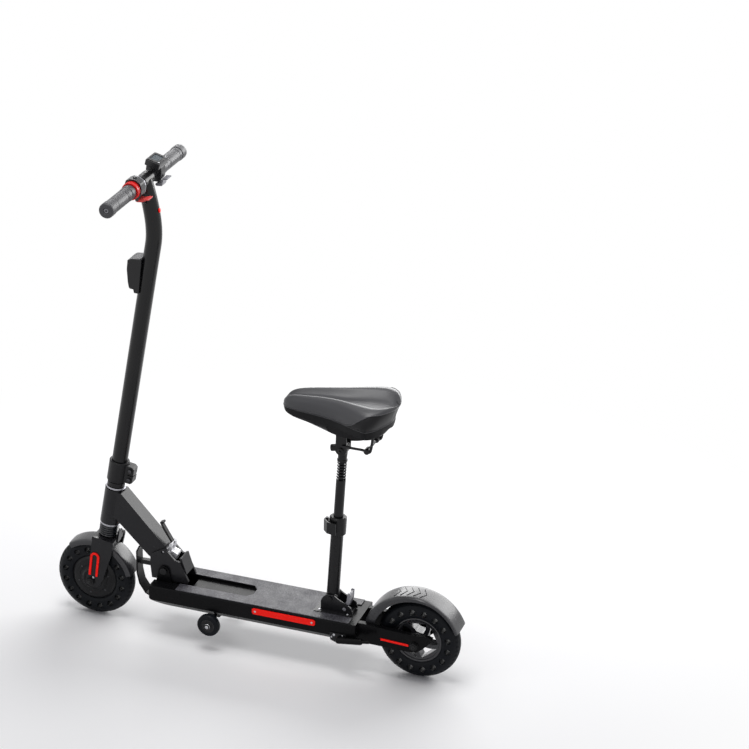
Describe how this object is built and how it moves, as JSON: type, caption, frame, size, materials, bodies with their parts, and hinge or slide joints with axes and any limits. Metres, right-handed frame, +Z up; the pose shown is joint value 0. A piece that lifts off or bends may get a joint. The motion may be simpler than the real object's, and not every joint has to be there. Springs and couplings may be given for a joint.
{
  "type": "folding electric scooter with seat",
  "caption": "Two-wheeled folding scooter with upright steering column, flat deck, sprung saddle post, front hub drive, small transport casters and perforated solid tyres.",
  "frame": {"origin": "on the ground, midway along the length and on the centre plane", "axes": "+Z up, front wheel towards -X, the rider's left towards -Y"},
  "size_m": [1.0422, 0.416, 1.1868],
  "materials": {
    "frame_paint": "satin black paint",
    "stem_paint": "satin black paint",
    "black_metal": "semi-gloss black paint",
    "bright_ring": "brushed bright metal",
    "chrome_block": "polished chrome plate",
    "steel": "bare steel",
    "dark_steel": "blackened steel",
    "bar_metal": "grey metallic lacquer",
    "grip_rubber": "soft grey-black rubber",
    "red_plastic": "glossy red plastic",
    "lever_red": "glossy light red plastic",
    "lever_grey": "grey plastic",
    "housing_plastic": "fine grained dark grey plastic",
    "black_plastic": "matt black plastic",
    "screen": "glossy blue-grey display window",
    "lens_red": "red reflector lens",
    "cable_black": "black cable sleeve",
    "boot_rubber": "ribbed black rubber",
    "fender_plastic": "semi-gloss dark grey plastic",
    "tyre_rubber": "solid perforated tyre rubber",
    "hub_paint": "satin dark hub casting",
    "mat_grip": "speckled grey anti-slip mat",
    "battery_wrap": "blue shrink wrap",
    "spring_steel": "black coated spring wire",
    "saddle_plastic": "matt black saddle shell",
    "saddle_cover": "soft dark grey saddle cover"
  },
  "bodies": {
    "front_frame": {"front_frame": "frame_paint", "head_ring_top": "bright_ring", "head_ring_bottom": "bright_ring", "caster_arm": "frame_paint", "latch_block": "chrome_block", "fold_pin": "steel"},
    "latch_handle": {"latch_handle": "black_plastic"},
    "lock_bolt": {"lock_bolt": "steel"},
    "caster_left": {"caster_tyre_left": "tyre_rubber", "caster_hub_left": "bright_ring"},
    "caster_right": {"caster_tyre_right": "tyre_rubber", "caster_hub_right": "bright_ring"},
    "steering": {"stem": "stem_paint", "stem_clamp": "black_metal", "stem_box": "black_plastic", "handlebar": "bar_metal", "grip_left": "grip_rubber", "grip_right": "grip_rubber", "red_ring": "red_plastic", "control_box": "housing_plastic", "display_housing": "housing_plastic", "display_screen": "screen", "stem_reflector": "lens_red", "control_cable": "cable_black", "fork_boot": "boot_rubber"},
    "mode_button": {"mode_button": "black_plastic"},
    "brake_lever": {"brake_lever": "lever_red"},
    "throttle_lever": {"throttle_lever": "lever_grey"},
    "fork": {"fork": "frame_paint", "front_fender": "fender_plastic", "front_axle": "dark_steel", "leg_reflector_left": "lens_red", "leg_reflector_right": "lens_red"},
    "front_wheel": {"front_tyre": "tyre_rubber", "hub_motor": "hub_paint"},
    "deck": {"deck_shell": "frame_paint", "deck_cover": "black_metal", "battery": "battery_wrap", "grip_mat": "mat_grip", "side_reflector_left": "lens_red", "side_reflector_right": "lens_red", "arm_stripe_left": "lens_red", "arm_stripe_right": "lens_red", "rear_fender": "fender_plastic", "rear_axle": "dark_steel", "kickstand_bracket": "black_metal", "seat_base": "black_metal"},
    "rear_wheel": {"rear_tyre": "tyre_rubber", "rear_rim": "hub_paint"},
    "kickstand": {"kickstand_leg": "black_metal"},
    "seat_catch": {"seat_catch": "black_metal"},
    "lower_post": {"lower_post": "black_metal", "guide_sleeve": "black_plastic"},
    "seat_collar": {"seat_collar": "black_metal"},
    "seat_clip": {"seat_clip": "black_metal"},
    "upper_post": {"upper_post": "black_metal", "seat_spring": "spring_steel"},
    "seat_clamp": {"seat_clamp": "black_metal"},
    "saddle": {"saddle_base": "saddle_plastic", "saddle_cushion": "saddle_cover"}
  },
  "joints": [
    {"name": "steering_turn", "type": "hinge", "parent": "front_frame", "child": "steering", "pos_m": [-0.38108, 0, 0.257], "axis": [0.1714, 0, 0.9852], "range_deg": [-45, 45]},
    {"name": "fork_travel", "type": "slide", "parent": "steering", "child": "fork", "axis": [0.1714, 0, 0.9852], "range_m": [0, 0.012], "stiffness_N_per_m": 16000, "springref_m": -0.01, "deforming": ["fork_boot"]},
    {"name": "front_wheel_spin", "type": "hinge", "parent": "fork", "child": "front_wheel", "pos_m": [-0.42108, 0, 0.1], "axis": [0, 1, 0], "continuous": true},
    {"name": "rear_wheel_spin", "type": "hinge", "parent": "deck", "child": "rear_wheel", "pos_m": [0.40842, 0, 0.1], "axis": [0, 1, 0], "continuous": true},
    {"name": "caster_left_spin", "type": "hinge", "parent": "front_frame", "child": "caster_left", "pos_m": [-0.09558, -0.075, 0.0667], "axis": [0, 1, 0], "continuous": true},
    {"name": "caster_right_spin", "type": "hinge", "parent": "front_frame", "child": "caster_right", "pos_m": [-0.09558, 0.075, 0.0667], "axis": [0, 1, 0], "continuous": true},
    {"name": "latch_lift", "type": "hinge", "parent": "front_frame", "child": "latch_handle", "pos_m": [-0.22283, 0, 0.20711], "axis": [0, 1, 0], "range_deg": [0, 45]},
    {"name": "lock_bolt_draw", "type": "slide", "parent": "front_frame", "child": "lock_bolt", "axis": [0.365, 0, 0.931], "range_m": [0, 0.006]},
    {"name": "deck_fold", "type": "hinge", "parent": "front_frame", "child": "deck", "pos_m": [-0.22958, 0, 0.1625], "axis": [0, -1, 0], "range_deg": [0, 32]},
    {"name": "kickstand_swing", "type": "hinge", "parent": "deck", "child": "kickstand", "pos_m": [0.23392, -0.0689, 0.09], "axis": [0, 1, 0], "range_deg": [0, 100]},
    {"name": "seat_catch_release", "type": "hinge", "parent": "deck", "child": "seat_catch", "pos_m": [0.22692, 0, 0.1475], "axis": [0, 1, 0], "range_deg": [0, 30]},
    {"name": "seat_stow", "type": "hinge", "parent": "deck", "child": "lower_post", "pos_m": [0.19092, 0, 0.168], "axis": [0, -1, 0], "range_deg": [0, 74]},
    {"name": "saddle_swivel", "type": "hinge", "parent": "lower_post", "child": "seat_collar", "pos_m": [0.19935, 0, 0.33439], "axis": [0.0506, 0, 0.9987], "range_deg": [0, 81.1]},
    {"name": "seat_clip_swing", "type": "hinge", "parent": "seat_collar", "child": "seat_clip", "pos_m": [0.17434, 0, 0.35786], "axis": [0.0506, 0, 0.9987], "range_deg": [-75, 0]},
    {"name": "seat_height", "type": "slide", "parent": "seat_collar", "child": "upper_post", "axis": [-0.0506, 0, -0.9987], "range_m": [0, 0.087]},
    {"name": "seat_suspension", "type": "slide", "parent": "upper_post", "child": "seat_clamp", "axis": [-0.0506, 0, -0.9987], "range_m": [0, 0.015], "stiffness_N_per_m": 9000, "springref_m": -0.006, "deforming": ["seat_spring"]},
    {"name": "saddle_tilt", "type": "hinge", "parent": "seat_clamp", "child": "saddle", "pos_m": [0.21078, 0, 0.56], "axis": [0, -1, 0], "range_deg": [0, 103.3]},
    {"name": "mode_button_press", "type": "slide", "parent": "steering", "child": "mode_button", "axis": [0, 0, -1], "range_m": [0, 0.0012], "stiffness_N_per_m": 300, "springref_m": -0.0003},
    {"name": "brake_lever_press", "type": "hinge", "parent": "steering", "child": "brake_lever", "pos_m": [-0.26308, -0.0514, 1.1165], "axis": [0, 1, 0], "range_deg": [0, 18], "stiffness_Nm_per_rad": 0.05, "springref_deg": -11.46},
    {"name": "throttle_press", "type": "hinge", "parent": "steering", "child": "throttle_lever", "pos_m": [-0.26308, 0.059, 1.1165], "axis": [0, 1, 0], "range_deg": [0, 18], "stiffness_Nm_per_rad": 0.05, "springref_deg": -11.46}
  ],
  "couplings": [
    {"joint": "lock_bolt_draw", "follows": "latch_lift", "m_per_rad": 0.0075},
    {"joint": "saddle_swivel", "follows": "seat_stow", "ratio": 1.0959},
    {"joint": "saddle_tilt", "follows": "seat_stow", "ratio": 1.3959}
  ]
}
